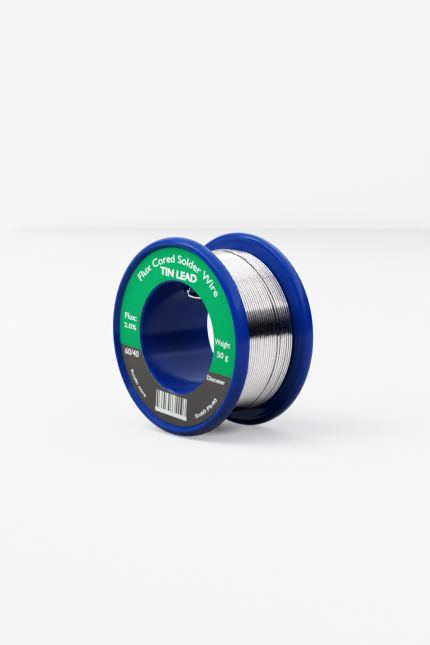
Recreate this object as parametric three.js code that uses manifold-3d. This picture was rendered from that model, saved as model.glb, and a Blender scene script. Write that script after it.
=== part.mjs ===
// A small spool of flux-cored solder wire, standing on the rims of its two flanges.
//
// Millimetres, +Z up. The origin is the centre of the bore, half way between the flanges. The spool's axis is +Y:
// the labelled front flange faces -Y, the plain rear flange faces +Y, and +X is to the right seen from the front.
import * as THREE from 'three';
import { mergeVertices } from 'three/addons/utils/BufferGeometryUtils.js';
import Module from 'manifold-3d';

// ---- driving dimensions ----------------------------------------------------------------------------------------
const FLANGE_RADIUS = 21.5;
const SPOOL_WIDTH = 22.2; // over the crests of both rims
const BORE_RADIUS = 11.9;
const CORE_RADIUS = 13.5; // what the wire is wound on
const WEB_THICKNESS = 1.9; // the flange between its core and its rim
const FACE_RECESS = 1.2; // from a rim's crest down to the flat where the label lies
const RIM_THICKNESS = 3.3; // the rounded bead round each flange, along the axis
const RIM_DEPTH = 2.1; // the same bead, along a radius
const RIM_ROUND = 1.1; // its corner towards the winding
const SHOULDER_RADIAL = 1.3; // its outer corner is a quarter of an ellipse
const SHOULDER_AXIAL = 2.0;
const RIM_CREST = 0.4; // the narrow flat ring on a rim's crest
const BORE_CHAMFER = 0.3;
const CORE_FILLET = 0.4;

const WIRE_DIAMETER = 0.6;
const FLUX_DIAMETER = 0.22; // about 2% of the wire's mass
const WIRE_LAYERS = 8;
const LAYER_PITCH = 0.53; // layers nest in each other's grooves
const WINDING_GAP = 0.05; // between the winding and the moulding, and from one layer to the next
const FLUX_GAP = 0.05; // between the flux core and the solder round it

const LABEL_THICKNESS = 0.12;
const LABEL_GLUE = 0.05;
const LABEL_MARGIN = 0.1; // clear of the bore's chamfer and of the rim's slope

const ANCHOR_HOLE_RADIUS = 1.3; // the wire's start end comes through it into the bore
const ANCHOR_HOLE_ANGLE = 129; // degrees round from +X towards +Z
const ANCHOR_HOLE_Y = 0.2;

// ---- resolution ------------------------------------------------------------------------------------------------
const FACETS = 48; // a multiple of 4: a flat then faces straight down, so the spool stands still
const ROUND_STEPS = 4;
const WIRE_SIDES = 8;
const FLUX_SIDES = 6;
const HOLE_SIDES = 16;

// ---- materials -------------------------------------------------------------------------------------------------
const plastic = () => new THREE.MeshStandardMaterial({ color: 0x0d2f97, roughness: 0.28, metalness: 0 });
const paper = () => new THREE.MeshStandardMaterial({ color: 0x0c9855, roughness: 0.5, metalness: 0 });
const solder = () => new THREE.MeshStandardMaterial({ color: 0xc9c6c4, roughness: 0.25, metalness: 1 });
const rosin = () => new THREE.MeshStandardMaterial({ color: 0xd79a3c, roughness: 0.4, metalness: 0 });

// ---- helpers ---------------------------------------------------------------------------------------------------
const radians = THREE.MathUtils.degToRad;

/** A point given by its radius, its angle round from +X towards +Z in degrees, and its place along the axis. */
function onSpool(radius, angle, y) {
  return new THREE.Vector3(radius * Math.cos(radians(angle)), y, radius * Math.sin(radians(angle)));
}

/** Points of a quarter round in the (radius, y) plane, without its first one. `sizeY` makes it an ellipse. */
function quarterRound(centreR, centreY, size, fromAngle, turn, sizeY = size) {
  const points = [];
  for (let i = 1; i <= ROUND_STEPS; i += 1) {
    const angle = radians(fromAngle + (turn * i) / ROUND_STEPS);
    points.push([centreR + size * Math.cos(angle), centreY + sizeY * Math.sin(angle)]);
  }
  return points;
}

/** A closed (radius, y) outline turned round the axis. Its flats, not its corners, have the stated radius. */
function turned(outline) {
  const flatToCorner = 1 / Math.cos(Math.PI / FACETS);
  const closed = [...outline, outline[0]];
  const points = closed.map(([r, y]) => new THREE.Vector2(r * flatToCorner, y));
  return new THREE.LatheGeometry(points, FACETS, Math.PI / FACETS);
}

function ring(innerRadius, outerRadius, lowY, highY) {
  return turned([
    [innerRadius, lowY],
    [outerRadius, lowY],
    [outerRadius, highY],
    [innerRadius, highY],
  ]);
}

function polygon(shape, radius, sides) {
  for (let i = 0; i <= sides; i += 1) {
    const angle = (2 * Math.PI * i) / sides;
    const place = [radius * Math.cos(angle), radius * Math.sin(angle)];
    if (i === 0) shape.moveTo(...place);
    else shape.lineTo(...place);
  }
  return shape;
}

/** Solder wire along a curve, with the channel that its flux fills. */
function wireAlong(curve, steps) {
  const section = polygon(new THREE.Shape(), WIRE_DIAMETER / 2, WIRE_SIDES);
  section.holes.push(polygon(new THREE.Path(), FLUX_DIAMETER / 2 + FLUX_GAP, FLUX_SIDES));
  return new THREE.ExtrudeGeometry(section, { extrudePath: curve, steps });
}

function fluxAlong(curve, steps) {
  const section = polygon(new THREE.Shape(), FLUX_DIAMETER / 2, FLUX_SIDES);
  return new THREE.ExtrudeGeometry(section, { extrudePath: curve, steps });
}

const wasm = await Module();
wasm.setup();

function toSolid(geometry) {
  const bare = geometry.clone();
  bare.deleteAttribute('normal');
  bare.deleteAttribute('uv');
  const merged = mergeVertices(bare, 1e-4);
  return new wasm.Manifold(
    new wasm.Mesh({
      numProp: 3,
      vertProperties: merged.attributes.position.array,
      triVerts: Uint32Array.from(merged.index.array),
    }),
  );
}

function toGeometry(solid) {
  const { vertProperties, triVerts } = solid.getMesh();
  const geometry = new THREE.BufferGeometry();
  geometry.setAttribute('position', new THREE.BufferAttribute(vertProperties, 3));
  geometry.setIndex(new THREE.BufferAttribute(triVerts, 1));
  geometry.computeVertexNormals();
  return geometry;
}

// ---- the moulded spool -----------------------------------------------------------------------------------------
const CREST_Y = SPOOL_WIDTH / 2;
const WEB_OUTER_Y = CREST_Y - FACE_RECESS;
const WEB_INNER_Y = WEB_OUTER_Y - WEB_THICKNESS;
const RIM_INNER_Y = CREST_Y - RIM_THICKNESS;
const RIM_FOOT_RADIUS = FLANGE_RADIUS - RIM_DEPTH;
const CREST_RADIUS = FLANGE_RADIUS - SHOULDER_RADIAL;
const INNER_FLAT_RADIUS = FLANGE_RADIUS - RIM_ROUND - RIM_CREST;

/** The rear half of the spool's outline, from the bore round the flange to the core. */
function rearOutline() {
  const filletRadius = CORE_RADIUS + CORE_FILLET;
  const filletY = WEB_INNER_Y - CORE_FILLET;
  return [
    [BORE_RADIUS, WEB_OUTER_Y - BORE_CHAMFER],
    [BORE_RADIUS + BORE_CHAMFER, WEB_OUTER_Y],
    [RIM_FOOT_RADIUS, WEB_OUTER_Y],
    [RIM_FOOT_RADIUS + 0.1, CREST_Y - 0.5],
    [CREST_RADIUS - RIM_CREST, CREST_Y],
    [CREST_RADIUS, CREST_Y],
    ...quarterRound(CREST_RADIUS, CREST_Y - SHOULDER_AXIAL, SHOULDER_RADIAL, 90, -90, SHOULDER_AXIAL),
    [FLANGE_RADIUS, RIM_INNER_Y + RIM_ROUND],
    ...quarterRound(FLANGE_RADIUS - RIM_ROUND, RIM_INNER_Y + RIM_ROUND, RIM_ROUND, 0, -90),
    [INNER_FLAT_RADIUS, RIM_INNER_Y],
    [RIM_FOOT_RADIUS, WEB_INNER_Y],
    [filletRadius, WEB_INNER_Y],
    ...quarterRound(filletRadius, filletY, CORE_FILLET, 90, 90),
  ];
}

function spoolBody() {
  const rear = rearOutline();
  const front = rear.map(([r, y]) => [r, -y]);
  const moulding = toSolid(turned([...front, ...rear.reverse()]));

  const drill = new THREE.CylinderGeometry(ANCHOR_HOLE_RADIUS, ANCHOR_HOLE_RADIUS, 6, HOLE_SIDES);
  const outward = onSpool(1, ANCHOR_HOLE_ANGLE, 0);
  drill.applyQuaternion(new THREE.Quaternion().setFromUnitVectors(new THREE.Vector3(0, 1, 0), outward));
  const middle = onSpool((BORE_RADIUS + CORE_RADIUS) / 2, ANCHOR_HOLE_ANGLE, ANCHOR_HOLE_Y);
  drill.translate(middle.x, middle.y, middle.z);
  return toGeometry(moulding.subtract(toSolid(drill)));
}

// ---- the label -------------------------------------------------------------------------------------------------
function frontLabel() {
  const glueY = -WEB_OUTER_Y - LABEL_GLUE;
  const inner = BORE_RADIUS + BORE_CHAMFER + LABEL_MARGIN;
  return ring(inner, RIM_FOOT_RADIUS - LABEL_MARGIN, glueY - LABEL_THICKNESS, glueY);
}

// ---- the solder wire -------------------------------------------------------------------------------------------
const WINDING_HALF_WIDTH = WEB_INNER_Y - WINDING_GAP;
const layerInnerRadius = (layer) => CORE_RADIUS + WINDING_GAP + layer * LAYER_PITCH;
const WINDING_RADIUS = layerInnerRadius(WIRE_LAYERS) - WINDING_GAP;

/** One layer of turns, as the plain ring that they fill. The first one stops short of the core's fillets. */
function windingLayer(layer) {
  const inner = layerInnerRadius(layer);
  const halfWidth = WINDING_HALF_WIDTH - (layer === 0 ? CORE_FILLET : 0);
  return ring(inner, inner + LAYER_PITCH - WINDING_GAP, -halfWidth, halfWidth);
}

/** The start end: out of the winding, through the hole in the core, then bent over and laid along the bore. */
const startRoute = new THREE.CatmullRomCurve3(
  [
    onSpool(13.35, 126.5, 0.4),
    onSpool(12.6, 126.5, 0.2),
    onSpool(11.8, 127.2, -0.1),
    onSpool(11.3, 129.3, -0.35),
    onSpool(11.05, 133.0, -0.15),
    onSpool(11.1, 136.6, 0.5),
    onSpool(11.25, 139.6, 1.4),
    onSpool(11.35, 142.0, 2.6),
    onSpool(11.4, 143.8, 3.9),
    onSpool(11.45, 145.0, 5.2),
  ],
  false,
  'centripetal',
);
const START_STEPS = 24;

/** The outer end: lifted over its neighbours on the winding, and cut off. */
const END_RADIUS = WINDING_RADIUS + 2 * WINDING_GAP + WIRE_DIAMETER / 2;
const endRoute = new THREE.CatmullRomCurve3(
  [
    onSpool(END_RADIUS, 246, 3.4),
    onSpool(END_RADIUS, 236, 3.5),
    onSpool(END_RADIUS, 226, 3.9),
    onSpool(END_RADIUS, 216, 4.5),
    onSpool(END_RADIUS, 206, 5.2),
    onSpool(END_RADIUS, 196, 5.8),
  ],
  false,
  'centripetal',
);
const END_STEPS = 18;

// ---- the assembly ----------------------------------------------------------------------------------------------
const solderSpool = new THREE.Group();

function addPart(name, geometry, material) {
  const mesh = new THREE.Mesh(geometry, material);
  mesh.name = name;
  solderSpool.add(mesh);
}

addPart('spool_body', spoolBody(), plastic());
addPart('front_label', frontLabel(), paper());
for (let layer = 0; layer < WIRE_LAYERS; layer += 1) {
  addPart(`solder_layer_${layer + 1}`, windingLayer(layer), solder());
}
addPart('solder_start_tail', wireAlong(startRoute, START_STEPS), solder());
addPart('start_flux_core', fluxAlong(startRoute, START_STEPS), rosin());
addPart('solder_outer_end', wireAlong(endRoute, END_STEPS), solder());
addPart('outer_flux_core', fluxAlong(endRoute, END_STEPS), rosin());

export default solderSpool;
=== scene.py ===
# The solder wire spool's looks: moulded blue plastic, a printed label, and one continuous solder wire,
# wound in eight layers. Metres, +Z up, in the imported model's frame: the spool's axis is +Y and its
# labelled flange faces -Y.
import bisect
import math
import random

import bmesh
import bpy
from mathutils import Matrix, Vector


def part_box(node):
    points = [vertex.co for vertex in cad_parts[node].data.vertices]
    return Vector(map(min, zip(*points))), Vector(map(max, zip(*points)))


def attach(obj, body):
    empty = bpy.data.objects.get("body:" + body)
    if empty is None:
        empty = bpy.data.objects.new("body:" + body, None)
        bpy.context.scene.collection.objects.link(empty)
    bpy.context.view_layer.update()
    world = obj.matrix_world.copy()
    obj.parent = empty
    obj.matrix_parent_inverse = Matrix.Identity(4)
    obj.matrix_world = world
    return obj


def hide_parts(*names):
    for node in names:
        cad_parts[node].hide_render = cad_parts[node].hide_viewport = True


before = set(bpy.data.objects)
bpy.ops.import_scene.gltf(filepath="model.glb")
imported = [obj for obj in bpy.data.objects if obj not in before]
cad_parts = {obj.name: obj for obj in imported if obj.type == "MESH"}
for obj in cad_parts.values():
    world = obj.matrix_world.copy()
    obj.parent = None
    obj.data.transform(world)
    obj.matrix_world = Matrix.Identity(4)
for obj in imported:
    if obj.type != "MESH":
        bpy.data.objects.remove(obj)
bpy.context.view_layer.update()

scene = bpy.context.scene
MM = 0.001
ROOT = "root"

# ---- sizes, in millimetres -----------------------------------------------------------------------
body_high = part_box("spool_body")[1] / MM
winding_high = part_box("solder_layer_8")[1] / MM
label_low, label_high = (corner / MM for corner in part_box("front_label"))

FLANGE_RADIUS = body_high.z
CREST_Y = body_high.y
FACE_RECESS = 1.2
WEB_OUTER_Y = CREST_Y - FACE_RECESS
WEB_INNER_Y = winding_high.y + 0.05
CORE_RADIUS = 13.5
BORE_RADIUS = 11.9
BORE_CHAMFER = 0.3
CORE_FILLET = 0.4
RIM_THICKNESS = 3.3
RIM_DEPTH = 2.1
RIM_ROUND = 1.1
SHOULDER_RADIAL, SHOULDER_AXIAL = 1.3, 2.0  # the outer corner is a quarter of an ellipse
CREST_ROUND = 0.35  # the crest's inner edge
FOOT_ROUND = 0.25  # where the rim meets the recess
PARTING_ANGLES = (39, 219)  # where the two halves of the side-action mould met
PARTING_HEIGHT = 0.03
PARTING_HALF_WIDTH = 0.2  # degrees
LATHE_STEPS = 240

ANCHOR_RADIUS = 1.3
ANCHOR_ANGLE = 129
ANCHOR_Y = 0.2

LABEL_INNER = BORE_RADIUS + BORE_CHAMFER + 0.1
LABEL_OUTER = label_high.z
LABEL_TURN = -4.9  # the sticker was put on a little clockwise
LABEL_CHORD = -5.03  # the dark field lies below this line
PRINT_THICKNESS, PRINT_SINK = 0.012, 0.004  # how far print stands on the label, and reaches into it
CAPITAL_SHARE = 0.73  # a capital's height, as a share of the built-in font's size

WIRE_D = 0.6
FLUX_D = 0.22
LEVELS = 8
LEVEL_STEP = 0.52
FIRST_RADIUS = CORE_RADIUS + 0.05 + WIRE_D / 2
TOP = LEVELS - 1


def on_spool(radius, angle, y):
    """A point from its radius, its angle from +X towards +Z in degrees, and its place along the axis."""
    a = math.radians(angle)
    return Vector((radius * math.cos(a), y, radius * math.sin(a)))


# ---- camera --------------------------------------------------------------------------------------
CAMERA_AZIMUTH, CAMERA_ELEVATION = math.radians(48.36), math.radians(8.13)
CAMERA_DISTANCE = 15.68 * FLANGE_RADIUS * MM
CAMERA_LENS = 86.06
LOOK_RIGHT, LOOK_UP = 0.95 * MM, 2.28 * MM


def make_camera():
    """Looks past the spool's centre, a little to its right and above it, from the front right."""
    camera = bpy.data.objects.new("camera", bpy.data.cameras.new("camera"))
    scene.collection.objects.link(camera)
    scene.camera = camera
    camera.data.lens = CAMERA_LENS
    camera.data.clip_start = 0.01
    flat = math.cos(CAMERA_ELEVATION)
    back = Vector((
        math.sin(CAMERA_AZIMUTH) * flat,
        -math.cos(CAMERA_AZIMUTH) * flat,
        math.sin(CAMERA_ELEVATION),
    ))
    right = Vector((math.cos(CAMERA_AZIMUTH), math.sin(CAMERA_AZIMUTH), 0))
    target = right * LOOK_RIGHT + back.cross(right) * LOOK_UP
    camera.location = back * CAMERA_DISTANCE
    camera.rotation_euler = (target - camera.location).to_track_quat("-Z", "Y").to_euler()


make_camera()


# ---- making pieces -------------------------------------------------------------------------------
def add_piece(name, mesh, materials):
    piece = bpy.data.objects.new(name, mesh)
    scene.collection.objects.link(piece)
    for material in materials:
        mesh.materials.append(material)
    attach(piece, ROOT)
    return piece


def mesh_from(name, points_mm, faces, sharp_angle=None):
    mesh = bpy.data.meshes.new(name)
    mesh.from_pydata([Vector(p) * MM for p in points_mm], [], faces)
    mesh.update()
    mesh.shade_smooth()
    if sharp_angle is not None:
        mesh.set_sharp_from_angle(angle=math.radians(sharp_angle))
    return mesh


def smooth_step(t):
    t = min(max(t, 0), 1)
    return t * t * (3 - 2 * t)


def between(keys, x):
    """The value at x on a smooth line through (x, value) keys in rising x."""
    i = bisect.bisect([k[0] for k in keys], x)
    if i == 0:
        return keys[0][1]
    if i == len(keys):
        return keys[-1][1]
    (x0, v0), (x1, v1) = keys[i - 1], keys[i]
    return v0 + (v1 - v0) * smooth_step((x - x0) / (x1 - x0))


def curve_through(points, steps):
    """Points on a centripetal Catmull-Rom curve through the given ones, with each span's count of steps."""
    ends = [points[0] * 2 - points[1], *points, points[-1] * 2 - points[-2]]
    out = []
    for p0, p1, p2, p3, count in zip(ends, ends[1:], ends[2:], ends[3:], steps):
        t1 = (p1 - p0).length ** 0.5
        t2 = t1 + (p2 - p1).length ** 0.5
        t3 = t2 + (p3 - p2).length ** 0.5
        for i in range(count):
            t = t1 + (t2 - t1) * i / count
            a = p0.lerp(p1, t / t1)
            b = p1.lerp(p2, (t - t1) / (t2 - t1))
            c = p2.lerp(p3, (t - t2) / (t3 - t2))
            out.append(a.lerp(b, t / t2).lerp(b.lerp(c, (t - t1) / (t3 - t1)), (t - t1) / (t2 - t1)))
    out.append(points[-1].copy())
    return out


# ---- material nodes ------------------------------------------------------------------------------
class Nodes:
    """A material's node tree with a Principled shader, and short ways to add to it."""

    def __init__(self, name):
        self.material = bpy.data.materials.new(name)
        self.material.use_nodes = True
        self.tree = self.material.node_tree
        self.shader = self.tree.nodes["Principled BSDF"]

    def add(self, kind, **values):
        node = self.tree.nodes.new(kind)
        for key, value in values.items():
            if key in node.inputs:
                node.inputs[key].default_value = value
            else:
                setattr(node, key, value)
        return node

    def link(self, source, target):
        self.tree.links.new(source, target)

    def set(self, **values):
        for key, value in values.items():
            self.shader.inputs[key.replace("_", " ")].default_value = value

    def position(self, scale=(1, 1, 1), source="Object"):
        mapping = self.add("ShaderNodeMapping")
        mapping.inputs["Scale"].default_value = scale
        self.link(self.add("ShaderNodeTexCoord").outputs[source], mapping.inputs["Vector"])
        return mapping.outputs["Vector"]

    def distance_from(self, point):
        node = self.add("ShaderNodeVectorMath", operation="DISTANCE")
        self.link(self.position(), node.inputs[0])
        node.inputs[1].default_value = point
        return node.outputs["Value"]

    def noise(self, scale, detail=3.0, roughness=0.5, vector=None):
        node = self.add("ShaderNodeTexNoise", Scale=scale, Detail=detail, Roughness=roughness)
        self.link(vector or self.position(), node.inputs["Vector"])
        return node.outputs["Fac"]

    def spread(self, value, low, high, to_low, to_high):
        node = self.add("ShaderNodeMapRange")
        for key, number in zip(("From Min", "From Max", "To Min", "To Max"), (low, high, to_low, to_high)):
            node.inputs[key].default_value = number
        self.link(value, node.inputs["Value"])
        return node.outputs["Result"]

    def tint(self, factor, colour_a, colour_b):
        node = self.add("ShaderNodeMix", data_type="RGBA")
        self.link(factor, node.inputs["Factor"])
        node.inputs[6].default_value = (*colour_a, 1)
        node.inputs[7].default_value = (*colour_b, 1)
        return node.outputs[2]

    def bump(self, height, strength, distance, normal=None):
        node = self.add("ShaderNodeBump", Strength=strength, Distance=distance)
        self.link(height, node.inputs["Height"])
        if normal is not None:
            self.link(normal, node.inputs["Normal"])
        return node.outputs["Normal"]


def srgb(red, green, blue):
    """An 8-bit sRGB colour as the linear one that shaders take."""
    def linear(c):
        c = c / 255
        return c / 12.92 if c <= 0.04045 else ((c + 0.055) / 1.055) ** 2.4
    return linear(red), linear(green), linear(blue)


def plastic_material():
    n = Nodes("blue_plastic")
    n.set(IOR=1.5, Specular_IOR_Level=0.4)
    flow = n.noise(90, detail=4)
    n.link(n.tint(flow, srgb(20, 72, 148), srgb(25, 79, 158)), n.shader.inputs["Base Color"])
    n.link(n.spread(n.noise(900, detail=5), 0.3, 0.7, 0.14, 0.2), n.shader.inputs["Roughness"])
    peel = n.bump(n.noise(300, detail=1), 0.05, 0.00005)
    grain = n.bump(n.noise(5000, detail=3), 0.04, 0.00001, peel)
    n.link(grain, n.shader.inputs["Normal"])
    return n.material


def solder_material():
    n = Nodes("solder_wire")
    n.set(Metallic=1.0)
    tarnish = n.noise(160, detail=4)
    n.link(n.tint(tarnish, (0.79, 0.77, 0.77), (0.73, 0.71, 0.71)), n.shader.inputs["Base Color"])
    n.link(n.spread(n.noise(700, detail=4), 0.3, 0.7, 0.09, 0.15), n.shader.inputs["Roughness"])
    drawn = n.noise(1, detail=3, vector=n.position((120, 14, 1), "UV"))
    n.link(n.bump(drawn, 0.02, 0.00002), n.shader.inputs["Normal"])
    return n.material


def flux_material():
    n = Nodes("rosin_flux")
    n.set(Roughness=0.35, Subsurface_Weight=0.3, Subsurface_Scale=0.0002)
    n.link(n.tint(n.noise(4000), srgb(196, 132, 40), srgb(226, 170, 84)), n.shader.inputs["Base Color"])
    n.link(n.bump(n.noise(9000), 0.3, 0.00001), n.shader.inputs["Normal"])
    return n.material


def ink_material(name, colour_a, colour_b, roughness=0.42):
    """Satin film with a solid printed colour: faint mottle in the ink, faint grain in the film."""
    n = Nodes(name)
    n.set(Specular_IOR_Level=0.1)
    n.link(n.tint(n.noise(1400, detail=6), colour_a, colour_b), n.shader.inputs["Base Color"])
    n.link(n.spread(n.noise(600), 0.3, 0.7, roughness - 0.05, roughness + 0.06), n.shader.inputs["Roughness"])
    ripple = n.bump(n.noise(140, detail=2), 0.2, 0.00008)
    n.link(n.bump(n.noise(7000, detail=2), 0.15, 0.00001, ripple), n.shader.inputs["Normal"])
    return n.material


def floor_material():
    n = Nodes("studio_floor")
    n.set(Roughness=0.9, Specular_IOR_Level=0.1)
    # painted contact shadow: the floor's glow falls off towards the spool's foot
    away = n.distance_from((PAINTED_SHADOW_X, 0, FLOOR_Z))
    glow = n.spread(away, PAINTED_SHADOW_FROM, PAINTED_SHADOW_TO, PAINTED_SHADOW_SHARE * FLOOR_GLOW, FLOOR_GLOW)
    n.link(glow, n.shader.inputs["Emission Strength"])
    n.link(n.tint(n.noise(3), (0.57, 0.57, 0.57), (0.59, 0.59, 0.59)), n.shader.inputs["Base Color"])
    n.shader.inputs["Emission Color"].default_value = (1.0, 0.995, 1.0, 1)
    return n.material


# ---- the solder wire -----------------------------------------------------------------------------
# Each route point is a radius, an angle and a place along the axis. The CAD has the same end route, and the
# same start route as far as the hole in the core.
START_ROUTE = [
    (11.45, 145.0, 5.2), (11.4, 143.8, 3.9), (11.35, 142.0, 2.6), (11.25, 139.6, 1.4), (11.1, 136.6, 0.5),
    (11.05, 133.0, -0.15), (11.3, 129.3, -0.35), (11.8, 127.2, -0.1), (12.6, 126.5, 0.2), (13.35, 125.4, 0.5),
    (FIRST_RADIUS - 0.1, 122.3, 1.0), (FIRST_RADIUS, 116.5, 1.9), (FIRST_RADIUS, 108.0, 2.9),
]
END_RADIUS = FIRST_RADIUS + TOP * LEVEL_STEP + WIRE_D + 0.05
END_ROUTE = [
    (END_RADIUS, 246, 3.4), (END_RADIUS, 236, 3.5), (END_RADIUS, 226, 3.9),
    (END_RADIUS, 216, 4.5), (END_RADIUS, 206, 5.2), (END_RADIUS, 196, 5.8),
]
TURN_START = 120  # degrees; each turn runs down from here by 360
STEP_OVER = 60  # degrees of the turn's end in which it steps over to the next place
STEP_BULGE = 0.08  # how far each level rides up where it crosses the one below
LAST_TURN_SPAN = 212  # degrees of the last turn before the end route takes over
FINE_STEPS, COARSE_STEPS = 72, 24  # points in a turn, on the two levels that show and below them

SPLIT_Y = 3.3  # where the winding began and ends, so the level steps here
LATTICE_START = WEB_INNER_Y - WIRE_D / 2 - 0.05
LATTICE_TURNS = 26  # in each level but the top one
REAR_EDGE_Y = 7.8  # from here forwards, the top level's rear turns stray more and more
TOP_REAR = [7.5, 6.9, 6.3, 5.7, 5.1, 4.5]
REAR_GAP_TURN_Y = TOP_REAR[2]  # a gap opens in front of this turn
TOP_FRONT_FIRST, TOP_FRONT_LAST, TOP_FRONT_TURNS = -7.65, 2.75, 18
LAST_TURN_Y = 3.65


def level_radius(level):
    return FIRST_RADIUS + level * LEVEL_STEP


def places(level, rear):
    """Where a level's turns lie along the axis, from the rear forwards, behind or before the split."""
    if level == TOP:
        if rear:
            return list(TOP_REAR)
        pitch = (TOP_FRONT_LAST - TOP_FRONT_FIRST) / (TOP_FRONT_TURNS - 1)
        return [TOP_FRONT_LAST - pitch * i for i in range(TOP_FRONT_TURNS)]
    start = LATTICE_START - (1 - level % 2) * WIRE_D / 2
    turns = [start - WIRE_D * i for i in range(LATTICE_TURNS)]
    return [y for y in turns if (y > SPLIT_Y) == rear]


def wound_turns():
    """(level, y) of every turn, in winding order. It starts at the split, so one side is a level ahead."""
    turns = [(0, y) for y in reversed(places(0, True))]
    for level in range(1, LEVELS):
        if level % 2:
            turns += [(level, y) for y in places(level, True)]
            turns += [(level - 1, y) for y in places(level - 1, False)]
        else:
            turns += [(level - 1, y) for y in reversed(places(level - 1, False))]
            turns += [(level, y) for y in reversed(places(level, True))]
    turns += [(TOP, y) for y in reversed(places(TOP, False))]
    turns.append((TOP, LAST_TURN_Y))
    return turns


# How the outer turns stray, against the angle. A gap follows the last turn up to about 30 degrees, where
# it closes in on the front group, and the rear turns stand proud of the winding at the top.
LAST_TURN_SHIFT = [
    (-70, 0.1), (-45, 0.12), (-20, 0.08), (0, 0.0), (20, 0.05), (38, -0.28), (60, -0.45),
]
REAR_SHIFT = [(-50, -0.1), (-20, -0.1), (0, 0.0), (25, 0.0), (40, -0.25), (72, -0.35), (92, -0.05)]
FRONT_SHIFT = [(20, 0.0), (60, -0.15), (100, -0.15), (118, 0.0)]
TOP_LIFT = [(45, 0.0), (76, 0.3), (100, 0.3), (118, 0.0)]
REAR_GAP = [(-75, 0.1), (-55, 0.2), (-35, 0.2), (-18, 0.14), (0, 0.07), (20, 0.0)]


def stray(y, angle, phase):
    """(shift along the axis, lift) of an outer turn at an angle."""
    a = math.radians(angle)
    shift = 0.025 * math.sin(2 * a + phase) + 0.012 * math.sin(7 * a + 3 * phase)
    lift = 0.02 * math.sin(3 * a + 2 * phase)
    if y == LAST_TURN_Y:
        return shift + between(LAST_TURN_SHIFT, angle), lift
    if y <= TOP_FRONT_LAST:
        shift *= 0.4
        share = (y - TOP_FRONT_FIRST) / (TOP_FRONT_LAST - TOP_FRONT_FIRST)
        shift += between(FRONT_SHIFT, angle) * share
    if y in TOP_REAR:
        share = (REAR_EDGE_Y - y) / (REAR_EDGE_Y - TOP_REAR[-1])
        shift += between(REAR_SHIFT, angle) * share
        if y >= REAR_GAP_TURN_Y:
            shift += between(REAR_GAP, angle) * (REAR_EDGE_Y - y) / (REAR_EDGE_Y - REAR_GAP_TURN_Y)
        lift += between(TOP_LIFT, angle) * share
    return shift, lift


def winding_points():
    """The wire's centreline, from the core to where the end route takes over."""
    rng = random.Random(7)
    turns = wound_turns()
    points = []
    for i, (level, y) in enumerate(turns):
        is_last = i == len(turns) - 1
        next_level, next_y = turns[min(i + 1, len(turns) - 1)]
        steps = FINE_STEPS if level >= TOP - 1 else COARSE_STEPS
        phase = rng.uniform(0, 6.28)
        for k in range(steps):
            turned = 360 * k / steps
            angle = TURN_START - turned
            if is_last and turned > LAST_TURN_SPAN:
                break
            over = (turned - (360 - STEP_OVER)) / STEP_OVER
            part = smooth_step(over)
            bulge = STEP_BULGE * level * math.sin(math.pi * min(max(over, 0), 1)) ** 2
            radius = level_radius(level) * (1 - part) + level_radius(next_level) * part + bulge
            place = y * (1 - part) + next_y * part
            if level == TOP:
                shift, lift = stray(y, angle, phase)
                fade = smooth_step(turned / 20) * (1 - part)
                place += shift * fade
                radius += lift * fade
            points.append(on_spool(radius, angle, place))
    return points


def wire_path():
    """The whole centreline: the tail in the bore, the winding, and the end that lies on it."""
    start, end = [on_spool(*p) for p in START_ROUTE], [on_spool(*p) for p in END_ROUTE]
    wound = winding_points()[2:]  # the start route ends beyond the first two
    steps = [6] * len(start) + [1] * (len(wound) - 1) + [6] * len(end)
    return curve_through(start + wound + end, steps)


def frames_along(points):
    """A pair of side vectors at each point, carried along the line without twist."""
    tangents = []
    for i in range(len(points)):
        ahead, behind = points[min(i + 1, len(points) - 1)], points[max(i - 1, 0)]
        tangents.append((ahead - behind).normalized())
    aside = Vector((0, 1, 0)) if abs(tangents[0].y) < 0.9 else Vector((1, 0, 0))
    side = tangents[0].cross(aside).normalized()
    sides = []
    for tangent in tangents:
        side = (side - tangent * side.dot(tangent)).normalized()
        sides.append((side, tangent.cross(side)))
    return sides


WIRE_SIDES = 10
TIP_SIDES = 12
CUT_LENGTH = 0.7  # the cutters pinch this much of each end
CUT_WIDE, CUT_FLAT = 1.18, 0.62  # the cut face's half widths, as shares of the wire's radius
CHANNEL_DEPTH = 0.6  # how deep the flux's channel is modelled
CHANNEL_RADIUS = FLUX_D / 2 + 0.02
# The flux in a cut end: how far in, and the share of its radius there. Its face is a little rounded.
TIP_PROFILE = ((-0.03, 0.55), (0.0, 0.9), (0.05, 1.0), (CHANNEL_DEPTH - 0.02, 1.0))


def ring_points(centre, pair, radius, from_cut, count):
    """A ring of points round the wire's line, pinched near a cut end."""
    t = smooth_step(from_cut / CUT_LENGTH)
    wide = pair[0] * (radius * (CUT_WIDE + (1 - CUT_WIDE) * t))
    flat = pair[1] * (radius * (CUT_FLAT + (1 - CUT_FLAT) * t))
    turns = [2 * math.pi * k / count for k in range(count)]
    return [centre + wide * math.cos(a) + flat * math.sin(a) for a in turns]


def bridge(first, second, count):
    """The faces between two rings, given the index of each one's first point."""
    pairs = [(k, (k + 1) % count) for k in range(count)]
    return [(first + k, first + j, second + j, second + k) for k, j in pairs]


def add_channel(points, faces, path, sides, at_start):
    """Closes an end of the wire with its cut face and the channel that the flux fills."""
    at, inner, outer = (0, 1, 0) if at_start else (-1, -2, (len(path) - 1) * WIRE_SIDES)
    inward = (path[inner] - path[at]).normalized()
    rim = len(points)
    floor = rim + WIRE_SIDES
    for depth in (0, CHANNEL_DEPTH):
        points += ring_points(path[at] + inward * depth, sides[at], CHANNEL_RADIUS, 0, WIRE_SIDES)
    closed = bridge(outer, rim, WIRE_SIDES) + bridge(rim, floor, WIRE_SIDES)
    closed.append(tuple(range(floor, floor + WIRE_SIDES)))
    faces += [tuple(reversed(face)) for face in closed] if at_start else closed


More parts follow.
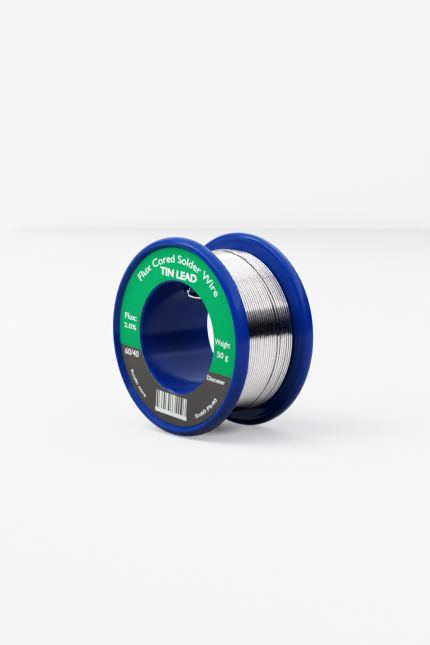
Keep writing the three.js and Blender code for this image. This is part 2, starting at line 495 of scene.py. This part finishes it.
def wire_mesh(path):
    """The solder's mesh and its whole length, in millimetres."""
    sides = frames_along(path)
    along = [0.0]
    for a, b in zip(path, path[1:]):
        along.append(along[-1] + (b - a).length)
    total = along[-1]
    points, faces = [], []
    for centre, pair, s in zip(path, sides, along):
        points += ring_points(centre, pair, WIRE_D / 2, min(s, total - s), WIRE_SIDES)
    for i in range(len(path) - 1):
        faces += bridge(i * WIRE_SIDES, (i + 1) * WIRE_SIDES, WIRE_SIDES)
    add_channel(points, faces, path, sides, at_start=True)
    add_channel(points, faces, path, sides, at_start=False)
    mesh = mesh_from("solder_wire", points, faces, sharp_angle=50)
    uv = mesh.uv_layers.new(name="along")
    for loop in mesh.loops:
        i, k = divmod(loop.vertex_index, WIRE_SIDES)
        uv.data[loop.index].uv = (along[min(i, len(path) - 1)] * MM, k / WIRE_SIDES)
    return mesh, total


def flux_tip(name, path, at_start):
    """The short stretch of flux that shows in a cut end."""
    tip, inner = (path[0], path[1]) if at_start else (path[-1], path[-2])
    inward = (inner - tip).normalized()
    pair = frames_along([tip, tip + inward])[0]
    points, faces = [], []
    for depth, share in TIP_PROFILE:
        points += ring_points(tip + inward * depth, pair, FLUX_D / 2 * share, 0, TIP_SIDES)
    last = (len(TIP_PROFILE) - 1) * TIP_SIDES
    for first in range(0, last, TIP_SIDES):
        faces += bridge(first, first + TIP_SIDES, TIP_SIDES)
    faces.append(tuple(reversed(range(TIP_SIDES))))
    faces.append(tuple(range(last, last + TIP_SIDES)))
    return mesh_from(name, points, faces, sharp_angle=60)


def make_wire():
    path = wire_path()
    mesh, total = wire_mesh(path)
    solder, rosin = solder_material(), flux_material()
    wire = add_piece("solder_wire", mesh, [solder])
    layers = [f"solder_layer_{i + 1}" for i in range(LEVELS)]
    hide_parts(*layers, "solder_start_tail", "solder_outer_end")
    for name, at_start in (("start_flux_core", True), ("outer_flux_core", False)):
        tip = add_piece(f"{name}_tip", flux_tip(name, path, at_start), [rosin])
        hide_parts(name)


make_wire()


# ---- the moulded spool ---------------------------------------------------------------------------
def rounded(centre_r, centre_y, size, from_angle, turn, steps=10, size_y=None):
    """Points of an arc in the cross-section; with size_y, of an elliptical one."""
    out = []
    for i in range(steps + 1):
        a = math.radians(from_angle + turn * i / steps)
        out.append((centre_r + size * math.cos(a), centre_y + (size_y or size) * math.sin(a)))
    return out


def rear_outline():
    """(radius, y) of the rear half, from the core round the flange to the bore."""
    inner_round_r = FLANGE_RADIUS - RIM_ROUND
    crest_r = FLANGE_RADIUS - SHOULDER_RADIAL
    rim_inner_y = CREST_Y - RIM_THICKNESS
    foot = FLANGE_RADIUS - RIM_DEPTH
    points = [(CORE_RADIUS, 0)]
    points += rounded(CORE_RADIUS + CORE_FILLET, WEB_INNER_Y - CORE_FILLET, CORE_FILLET, 180, -90, 5)
    points += [(foot - 0.2, WEB_INNER_Y), (foot + 0.25, WEB_INNER_Y - 0.07)]
    points += [(inner_round_r - 0.5, rim_inner_y)]
    points += rounded(inner_round_r, rim_inner_y + RIM_ROUND, RIM_ROUND, -90, 90)
    points += rounded(crest_r, CREST_Y - SHOULDER_AXIAL, SHOULDER_RADIAL, 0, 90, 12, SHOULDER_AXIAL)
    points += rounded(crest_r - 0.05, CREST_Y - CREST_ROUND, CREST_ROUND, 90, 60, 5)
    points += rounded(foot - 0.2, WEB_OUTER_Y + FOOT_ROUND, FOOT_ROUND, -30, -60, 4)
    points += [(foot - 1.2, WEB_OUTER_Y), (BORE_RADIUS + BORE_CHAMFER + 0.1, WEB_OUTER_Y)]
    points += [(BORE_RADIUS + BORE_CHAMFER, WEB_OUTER_Y - 0.03), (BORE_RADIUS, WEB_OUTER_Y - BORE_CHAMFER)]
    points += [(BORE_RADIUS, WEB_OUTER_Y - BORE_CHAMFER - 0.1)]
    return points


def lathe_angles():
    """Even steps round the spool, and three close ones at each parting line."""
    angles = {360 * i / LATHE_STEPS for i in range(LATHE_STEPS)}
    for parting in PARTING_ANGLES:
        angles.discard(float(parting))
        angles |= {parting - PARTING_HALF_WIDTH, parting, parting + PARTING_HALF_WIDTH}
    return sorted(angles)


def spool_mesh():
    rear = rear_outline()
    outline = rear + [(r, -y) for r, y in reversed(rear[1:])]
    angles = lathe_angles()
    count = len(outline)
    points, faces = [], []
    for angle in angles:
        ridge = PARTING_HEIGHT if angle in PARTING_ANGLES else 0
        for i, (r, y) in enumerate(outline):
            before, after = outline[i - 1], outline[(i + 1) % count]
            normal = Vector((after[1] - before[1], before[0] - after[0])).normalized()
            outside = r >= CORE_RADIUS - 0.001 and abs(y) <= CREST_Y - SHOULDER_AXIAL + 0.001
            lift = ridge if outside else 0
            points.append(on_spool(r + normal.x * lift, angle, y + normal.y * lift))
    for a in range(len(angles)):
        b = (a + 1) % len(angles)
        for i in range(count):
            j = (i + 1) % count
            faces.append((a * count + i, b * count + i, b * count + j, a * count + j))
    return mesh_from("spool_body", points, faces)


def drill(points, faces, centre, direction, radius, depth, sides=48):
    """Adds a closed cylinder to the cutter's points and faces."""
    along = direction.normalized()
    across = along.orthogonal().normalized()
    up = along.cross(across)
    first = len(points)
    for end in (-depth / 2, depth / 2):
        for k in range(sides):
            a = 2 * math.pi * k / sides
            out = across * (radius * math.cos(a)) + up * (radius * math.sin(a))
            points.append(centre + along * end + out)
    faces += bridge(first, first + sides, sides)
    faces.append(tuple(reversed(range(first, first + sides))))
    faces.append(tuple(range(first + sides, first + 2 * sides)))


EJECTOR_ANGLES = (35, 125, 215, 305)
EJECTOR_CIRCLE, EJECTOR_RADIUS, EJECTOR_DEPTH = 15.9, 1.25, 0.08


def cutter_mesh():
    """The anchor hole, and the shallow marks that ejector pins left in the rear face."""
    points, faces = [], []
    anchor = on_spool((BORE_RADIUS + CORE_RADIUS) / 2, ANCHOR_ANGLE, ANCHOR_Y)
    drill(points, faces, anchor, on_spool(1, ANCHOR_ANGLE, 0), ANCHOR_RADIUS, 5)
    for angle in EJECTOR_ANGLES:
        mark = on_spool(EJECTOR_CIRCLE, angle, WEB_OUTER_Y - EJECTOR_DEPTH + 1)
        drill(points, faces, mark, Vector((0, 1, 0)), EJECTOR_RADIUS, 2)
    return mesh_from("cutter", points, faces)


def cut_away(piece, cutter_data):
    """Cuts one mesh from a piece, and leaves no modifier behind."""
    cutter = bpy.data.objects.new("cutter", cutter_data)
    scene.collection.objects.link(cutter)
    cut = piece.modifiers.new("cut", "BOOLEAN")
    cut.object = cutter
    cut.operation = "DIFFERENCE"
    cut.solver = "EXACT"
    evaluated = piece.evaluated_get(bpy.context.evaluated_depsgraph_get())
    result = bpy.data.meshes.new_from_object(evaluated)
    piece.modifiers.clear()
    piece.data = result
    bpy.data.objects.remove(cutter)
    result.shade_smooth()
    result.set_sharp_from_angle(angle=math.radians(30))


def make_spool():
    piece = add_piece("spool_moulding", spool_mesh(), [plastic_material()])
    cut_away(piece, cutter_mesh())
    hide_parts("spool_body")


make_spool()


# ---- the label -----------------------------------------------------------------------------------
LABEL_FRONT_Y = label_low.y
LABEL_SEGMENTS = 192
EDGE_WIDTH, EDGE_DEPTH = 0.03, 0.02  # the sheet's slightly crushed cut edge


def turned_label(x, z):
    """A place on the label, from upright label coordinates to the way it is stuck on."""
    a = math.radians(LABEL_TURN)
    return x * math.cos(a) - z * math.sin(a), x * math.sin(a) + z * math.cos(a)


def label_sheet():
    """The sticker as a thin ring, with its face split along the line between its two colours."""
    corners = [
        (LABEL_INNER, label_high.y),
        (LABEL_INNER, LABEL_FRONT_Y + EDGE_DEPTH),
        (LABEL_INNER + EDGE_WIDTH, LABEL_FRONT_Y),
        (LABEL_OUTER - EDGE_WIDTH, LABEL_FRONT_Y),
        (LABEL_OUTER, LABEL_FRONT_Y + EDGE_DEPTH),
        (LABEL_OUTER, label_high.y),
    ]
    count = len(corners)
    points, faces = [], []
    for a in range(LABEL_SEGMENTS):
        points += [on_spool(r, 360 * a / LABEL_SEGMENTS, y) for r, y in corners]
    for a in range(LABEL_SEGMENTS):
        b = (a + 1) % LABEL_SEGMENTS
        for i in range(count):
            j = (i + 1) % count
            faces.append((a * count + i, a * count + j, b * count + j, b * count + i))
    mesh = mesh_from("front_label", points, faces, sharp_angle=30)
    shape = bmesh.new()
    shape.from_mesh(mesh)
    on_line = Vector(turned_label(0, LABEL_CHORD))
    across = Vector(turned_label(0, 1))
    bmesh.ops.bisect_plane(
        shape,
        geom=shape.verts[:] + shape.edges[:] + shape.faces[:],
        plane_co=Vector((on_line.x, 0, on_line.y)) * MM,
        plane_no=(across.x, 0, across.y),
    )
    for face in shape.faces:
        centre = face.calc_center_median() / MM
        below = (centre.x - on_line.x) * across.x + (centre.z - on_line.y) * across.y < 0
        is_face = abs(face.normal.y) > 0.5 and centre.y < LABEL_FRONT_Y + 0.05
        face.material_index = (2 if below else 1) if is_face else 0
    shape.to_mesh(mesh)
    shape.free()
    return mesh


def straight(x, z):
    """Puts flat print at a place on the label, its left end and baseline there."""
    return lambda u, v: turned_label(x + u, z + v)


def arched(radius, middle_angle, width, upright=True):
    """Bends a line of print round the label, its letters standing outwards, or inwards along the bottom."""
    def place(u, v):
        if upright:
            angle = math.radians(middle_angle) - (u - width / 2) / radius
            r = radius + v
        else:
            angle = math.radians(middle_angle) + (u - width / 2) / radius
            r = radius - v
        return turned_label(r * math.cos(angle), r * math.sin(angle))
    return place


def letters(text, height, weight=0.0, stretch=1.0):
    """A text's flat faces as (points, faces, width), with capitals of the given height."""
    font = bpy.data.curves.new("letters", "FONT")
    font.body = text
    font.size = height / CAPITAL_SHARE
    font.offset = weight
    font.resolution_u = 4
    holder = bpy.data.objects.new("letters", font)
    mesh = holder.to_mesh()
    points = [(v.co.x * stretch, v.co.y) for v in mesh.vertices]
    faces = [tuple(p.vertices) for p in mesh.polygons]
    holder.to_mesh_clear()
    bpy.data.objects.remove(holder)
    left = min(p[0] for p in points)
    points = [(u - left, v) for u, v in points]
    return points, faces, max(p[0] for p in points)


def block(left, bottom, right, top):
    return [(left, bottom), (right, bottom), (right, top), (left, top)], [(0, 1, 2, 3)]


BAR_LEFT, BAR_RIGHT, BAR_BOTTOM, BAR_TOP = -5.35, 4.75, -16.5, -12.65
BAR_WIDTHS = (1, 2, 1, 1, 3, 1, 2, 2, 1, 1, 3, 2, 1, 1, 2, 1, 3, 1, 1, 2, 1, 2, 1, 3, 1, 1, 2, 1, 1)


def bars():
    """A row of plain bars, wide and narrow in turn, that encodes nothing."""
    unit = (BAR_RIGHT - BAR_LEFT) / sum(BAR_WIDTHS)
    left = BAR_LEFT
    for i, width in enumerate(BAR_WIDTHS):
        if i % 2 == 0:
            yield block(left, BAR_BOTTOM, left + width * unit, BAR_TOP)
        left += width * unit
    yield block(BAR_LEFT - 0.15, BAR_BOTTOM - 0.9, BAR_RIGHT + 0.2, BAR_BOTTOM)


def print_mesh():
    """All white print as one thin relief on the label's face."""
    points, faces = [], []

    def lay(flat_points, flat_faces, place):
        first, count = len(points), len(flat_points)
        for depth in (PRINT_SINK, -PRINT_THICKNESS):
            for u, v in flat_points:
                x, z = place(u, v)
                points.append(Vector((x, LABEL_FRONT_Y + depth, z)))
        rim = {}
        for face in flat_faces:
            faces.append(tuple(first + count + k for k in face))
            faces.append(tuple(first + k for k in reversed(face)))
            for a, b in zip(face, face[1:] + face[:1]):
                rim[a, b] = True
        for a, b in rim:
            if (b, a) not in rim:
                faces.append((first + a, first + b, first + count + b, first + count + a))

    def write(text, place, height, weight=0.0, width=None):
        flat_points, flat_faces, natural = letters(text, height, weight)
        share = width / natural if width else 1
        lay([(u * share, v) for u, v in flat_points], flat_faces, place)

    write("Flux Cored Solder Wire", arched(16.1, 91.5, 27.8), 1.75, 0.02, width=27.8)
    write("TIN LEAD", straight(-6.2, 12.85), 1.65, 0.09, width=12.0)
    write("Flux:", straight(-17.5, 1.05), 1.35, 0.03, width=4.1)
    write("2.0%", straight(-17.6, -1.0), 1.1, 0.03, width=4.2)
    write("60/40", straight(-16.9, -6.9), 1.4, 0.03, width=4.8)
    write("Weight", straight(12.6, 1.05), 1.3, 0.02, width=4.7)
    write("50 g", straight(13.5, -1.55), 1.3, 0.02, width=3.4)
    write("Diameter", straight(10.8, -6.95), 1.0, 0.03, width=5.5)
    write("Rosin core", arched(17.9, -132.6, 7.4, upright=False), 0.85, 0.03, width=7.4)
    write("Sn60 Pb40", arched(17.9, -50.2, 8.4, upright=False), 0.85, 0.03, width=8.4)
    for flat_points, flat_faces in bars():
        lay(flat_points, flat_faces, straight(0, 0))
    return mesh_from("label_print", points, faces, sharp_angle=30)


def make_label():
    paper = ink_material("label_paper", srgb(205, 222, 214), srgb(222, 232, 228), 0.6)
    green = ink_material("green_ink", srgb(10, 173, 118), srgb(15, 180, 126))
    dark = ink_material("dark_ink", srgb(106, 105, 103), srgb(116, 115, 112))
    white = ink_material("white_ink", srgb(232, 238, 234), srgb(246, 248, 246))
    label = add_piece("label_sheet", label_sheet(), [paper, green, dark])
    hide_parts("front_label")
    add_piece("label_lettering", print_mesh(), [white])


make_label()


# ---- studio --------------------------------------------------------------------------------------
FLOOR_Z = -FLANGE_RADIUS * MM
COVE_RADIUS, COVE_HEIGHT, COVE_BEND = 1.6, 1.9, 0.7
FLOOR_GLOW = 0.36
# Painted contact shadow: under the winding the floor glows less, about this place, within these distances,
# down to this share.
PAINTED_SHADOW_X, PAINTED_SHADOW_FROM, PAINTED_SHADOW_TO, PAINTED_SHADOW_SHARE = -0.001, 0.003, 0.0085, 0.3
GRADE_WHITE = 1.22
GRADE = (
    (0.02, 0.005), (0.06, 0.024), (0.12, 0.073), (0.25, 0.243),
    (0.45, 0.52), (0.7, 0.84), (0.84, 0.905), (0.95, 0.945),
)


def make_cove():
    """A pale floor that curves up all round into a low wall."""
    outline = [(0.0, 0.0), (0.15, 0.0), (COVE_RADIUS - COVE_BEND, 0.0)]
    for i in range(1, 13):
        a = math.radians(90 * i / 12)
        outline.append((COVE_RADIUS - COVE_BEND + COVE_BEND * math.sin(a), COVE_BEND * (1 - math.cos(a))))
    outline.append((COVE_RADIUS, COVE_HEIGHT))
    count, around = len(outline), 96
    points = [
        (r * math.cos(2 * math.pi * a / around), r * math.sin(2 * math.pi * a / around), FLOOR_Z + z)
        for a in range(around) for r, z in outline
    ]
    faces = []
    for a in range(around):
        b = (a + 1) % around
        for i in range(1, count - 1):
            faces.append((b * count + i, a * count + i, a * count + i + 1, b * count + i + 1))
    faces.append(tuple(a * count + 1 for a in range(around)))
    mesh = bpy.data.meshes.new("studio_floor")
    mesh.from_pydata(points, [], faces)
    mesh.shade_smooth()
    mesh.materials.append(floor_material())
    cove = bpy.data.objects.new("studio_floor", mesh)
    scene.collection.objects.link(cove)


# Each card: from and to, in degrees from +X towards +Y, then its distance from the spool, and its foot and
# top above the floor, in metres.
SIDE_CARD = (-30, 108, 0.6, 0.0, 0.385)
FRONT_CARD = (-135, -30, 0.26, 0.0, 0.4)
LOW_BRIGHT_CARD = (-40, 125, 0.63, 0.385, 0.47)
HIGH_BRIGHT_CARD = (-60, 125, 0.63, 0.47, 1.3)
BACK_CARD = (50, 150, 0.6, 0.0, 0.45)
LEFT_CARD = (190, 214, 0.6, 0.1, 0.45)
# Two black discs of painted shade under the spool: the wide one darkens the soft light on its underside, the
# small one darkens its reflections of the floor.
WIDE_SHADE_DISC_RADIUS, SMALL_SHADE_DISC_RADIUS = 0.075, 0.014  # for soft light, for reflections


def felt_material(name, low, high):
    """Black below, paler towards the top, so the wire mirrors it with a soft upper edge."""
    n = Nodes(name)
    n.set(Roughness=1.0, Specular_IOR_Level=0.0)
    height = n.add("ShaderNodeSeparateXYZ")
    n.link(n.position(), height.inputs["Vector"])
    fade = n.spread(height.outputs["Z"], low, high, 0.0, 1.0)
    n.link(n.tint(fade, (0.012, 0.009, 0.008), (0.8, 0.79, 0.79)), n.shader.inputs["Base Color"])
    return n.material


def shade_disc_material(name, radius):
    """Painted shade: black from above, clear from below and towards its edge, so the floor keeps its light.
    """
    n = Nodes(name)
    n.set(Roughness=1.0, Specular_IOR_Level=0.0)
    n.link(n.tint(n.noise(300), (0.01, 0.01, 0.01), (0.02, 0.02, 0.02)), n.shader.inputs["Base Color"])
    clear = n.add("ShaderNodeMath", operation="MAXIMUM")
    n.link(n.spread(n.distance_from((0, 0, FLOOR_Z)), 0.5 * radius, radius, 0.0, 1.0), clear.inputs[0])
    n.link(n.add("ShaderNodeNewGeometry").outputs["Backfacing"], clear.inputs[1])
    mix = n.add("ShaderNodeMixShader")
    n.link(clear.outputs["Value"], mix.inputs["Fac"])
    n.link(n.shader.outputs[0], mix.inputs[1])
    n.link(n.add("ShaderNodeBsdfTransparent").outputs[0], mix.inputs[2])
    n.link(mix.outputs[0], n.tree.nodes["Material Output"].inputs["Surface"])
    return n.material


def add_screen(name, points, faces, material):
    """A part of the set that the camera doesn't see and that throws no shadow."""
    mesh = bpy.data.meshes.new(name)
    mesh.from_pydata(points, [], faces)
    mesh.materials.append(material)
    screen = bpy.data.objects.new(name, mesh)
    scene.collection.objects.link(screen)
    screen.visible_camera = False
    screen.visible_shadow = False
    return screen


def make_shade_disc(name, radius, height):
    """A black disc of painted shade under the spool."""
    around = 48
    angles = [2 * math.pi * k / around for k in range(around)]
    points = [(radius * math.cos(a), radius * math.sin(a), FLOOR_Z + height) for a in angles]
    return add_screen(name, points, [tuple(range(around))], shade_disc_material(name, radius))


def glow_material(name, strength):
    n = Nodes(name)
    n.set(Roughness=1.0, Specular_IOR_Level=0.0, Emission_Strength=strength)
    n.link(n.tint(n.noise(6), (0.98, 0.98, 0.97), (1, 1, 1)), n.shader.inputs["Emission Color"])
    n.shader.inputs["Base Color"].default_value = (0.1, 0.1, 0.1, 1)
    return n.material


def make_card(name, material, start, end, distance, foot, top):
    """A curved card that stands by the set."""
    columns = 30
    points, faces = [], []
    for i in range(columns + 1):
        a = math.radians(start + (end - start) * i / columns)
        for z in (foot, top):
            points.append((distance * math.cos(a), distance * math.sin(a), FLOOR_Z + z))
    for i in range(columns):
        faces.append((2 * i, 2 * i + 2, 2 * i + 3, 2 * i + 1))
    return add_screen(name, points, faces, material)


def make_cards():
    """The side, left and bright cards show only as reflections, and the back card never does."""
    side = make_card("side_card", felt_material("side_felt", 0.13, 0.42), *SIDE_CARD)
    side.visible_diffuse = False
    back = make_card("back_card", felt_material("back_felt", 0.3, 0.6), *BACK_CARD)
    back.visible_glossy = False
    left = make_card("left_card", felt_material("left_felt", 0.3, 0.45), *LEFT_CARD)
    left.visible_diffuse = False
    make_card("front_card", felt_material("front_felt", 0.18, 0.4), *FRONT_CARD)
    low = make_card("low_bright_card", glow_material("low_glow", 2.3), *LOW_BRIGHT_CARD)
    low.visible_diffuse = False
    high = make_card("high_bright_card", glow_material("high_glow", 1.5), *HIGH_BRIGHT_CARD)
    high.visible_diffuse = False


def softbox(name, place, size, power):
    """An area light that faces the spool."""
    light = bpy.data.lights.new(name, "AREA")
    light.shape = "RECTANGLE"
    light.size, light.size_y = size
    light.energy = power
    lamp = bpy.data.objects.new(name, light)
    scene.collection.objects.link(lamp)
    lamp.location = place
    lamp.rotation_euler = (-Vector(place)).to_track_quat("-Z", "Y").to_euler()
    return lamp


def make_world():
    world = bpy.data.worlds.new("studio")
    world.use_nodes = True
    world.node_tree.nodes["Background"].inputs["Color"].default_value = (1.0, 0.99, 0.99, 1)
    world.node_tree.nodes["Background"].inputs["Strength"].default_value = 1.0
    scene.world = world


def grade_picture():
    """A mild contrast curve, such as a camera gives its pictures."""
    view = scene.view_settings
    view.view_transform = "Standard"
    view.use_curve_mapping = True
    view.curve_mapping.white_level = (GRADE_WHITE,) * 3
    for x, y in GRADE:
        view.curve_mapping.curves[3].points.new(x, y)
    view.curve_mapping.update()


make_cove()
make_cards()
# Painted shade under the spool, from the two black discs.
make_shade_disc("wide_shade_disc", WIDE_SHADE_DISC_RADIUS, 0.0003).visible_glossy = False
make_shade_disc("small_shade_disc", SMALL_SHADE_DISC_RADIUS, 0.0004).visible_diffuse = False
make_world()
softbox("key_softbox", (-0.34, -0.68, 0.72), (0.9, 0.9), 10.0)
softbox("fill_softbox", (0.1, -1.0, 0.3), (0.8, 0.8), 3.6).visible_glossy = False
softbox("right_softbox", (0.85, 0.0, 0.45), (0.7, 0.7), 1.2).visible_glossy = False
grade_picture()
